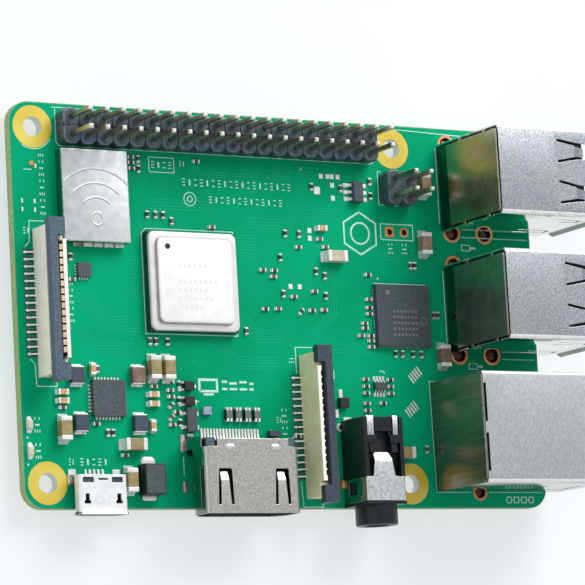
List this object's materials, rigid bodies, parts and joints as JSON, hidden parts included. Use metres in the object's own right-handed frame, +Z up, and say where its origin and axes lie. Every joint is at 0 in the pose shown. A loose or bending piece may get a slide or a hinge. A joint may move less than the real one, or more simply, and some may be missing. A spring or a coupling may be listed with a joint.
{
  "type": "single board computer",
  "caption": "Credit-card-size computer board with stacked USB, network, video, audio and power sockets, a pin header and flat-cable connectors with sliding latches.",
  "frame": {"origin": "centre of the bounding box in plan, at the lowest point of the solder tails under the board", "axes": "+X along the board's long edge towards the USB and network sockets, +Y along the short edge towards the long pin header, +Z up out of the component side"},
  "size_m": [0.0874, 0.0588, 0.0194],
  "materials": {
    "solder_mask": "semi-gloss",
    "nickel_shell": "satin",
    "lid_metal": "satin",
    "shield_metal": "matt",
    "black_plastic": "satin",
    "header_plastic": "matt",
    "beige_plastic": "matt",
    "slate_plastic": "satin",
    "chip_epoxy": "matt",
    "ceramic_body": "satin",
    "ferrite_body": "matt",
    "light_pipe": "gloss",
    "gold_contact": "satin"
  },
  "bodies": {
    "board": {"activity_led": "light_pipe", "bulk_capacitor_1": "ceramic_body", "bulk_capacitor_10": "ceramic_body", "bulk_capacitor_2": "ceramic_body", "bulk_capacitor_3": "ceramic_body", "bulk_capacitor_4": "ceramic_body", "bulk_capacitor_5": "ceramic_body", "bulk_capacitor_6": "ceramic_body", "bulk_capacitor_7": "ceramic_body", "bulk_capacitor_8": "ceramic_body", "bulk_capacitor_9": "ceramic_body", "camera_connector": "beige_plastic", "card_slot_base": "black_plastic", "card_slot_shell": "nickel_shell", "clock_chip": "chip_epoxy", "display_connector": "beige_plastic", "ethernet_contacts": "gold_contact", "ethernet_housing": "black_plastic", "ethernet_lamp_high": "light_pipe", "ethernet_lamp_low": "light_pipe", "ethernet_magnetics": "chip_epoxy", "ethernet_shell": "nickel_shell", "gpio_header": "header_plastic", "hdmi_insulator": "black_plastic", "hdmi_shell": "nickel_shell", "header_switch": "chip_epoxy", "inductor_1": "ferrite_body", "inductor_2": "ferrite_body", "inductor_3": "ferrite_body", "inductor_4": "ferrite_body", "jack_clip": "nickel_shell", "jack_contact_left": "nickel_shell", "jack_contact_right": "nickel_shell", "jack_housing": "black_plastic", "lan_chip": "chip_epoxy", "micro_usb_insulator": "black_plastic", "micro_usb_shell": "nickel_shell", "pcb": "solder_mask", "poe_header": "header_plastic", "power_diode": "chip_epoxy", "power_led": "light_pipe", "power_manager": "chip_epoxy", "radio_chip": "chip_epoxy", "radio_shield": "shield_metal", "ram_chip": "chip_epoxy", "soc_die": "ferrite_body", "soc_lid": "lid_metal", "soc_substrate": "chip_epoxy", "usb_1_divider": "nickel_shell", "usb_1_housing": "black_plastic", "usb_1_rear_cover": "nickel_shell", "usb_1_shell": "nickel_shell", "usb_2_divider": "nickel_shell", "usb_2_housing": "black_plastic", "usb_2_rear_cover": "nickel_shell", "usb_2_shell": "nickel_shell", "usb_switch": "chip_epoxy"},
    "display_latch": {"display_latch": "slate_plastic"},
    "camera_latch": {"camera_latch": "slate_plastic"}
  },
  "joints": [
    {"name": "display_latch_slide", "type": "slide", "parent": "board", "child": "display_latch", "axis": [0, 0, 1], "range_m": [0, 0.0012]},
    {"name": "camera_latch_slide", "type": "slide", "parent": "board", "child": "camera_latch", "axis": [0, 0, 1], "range_m": [0, 0.0012]}
  ]
}
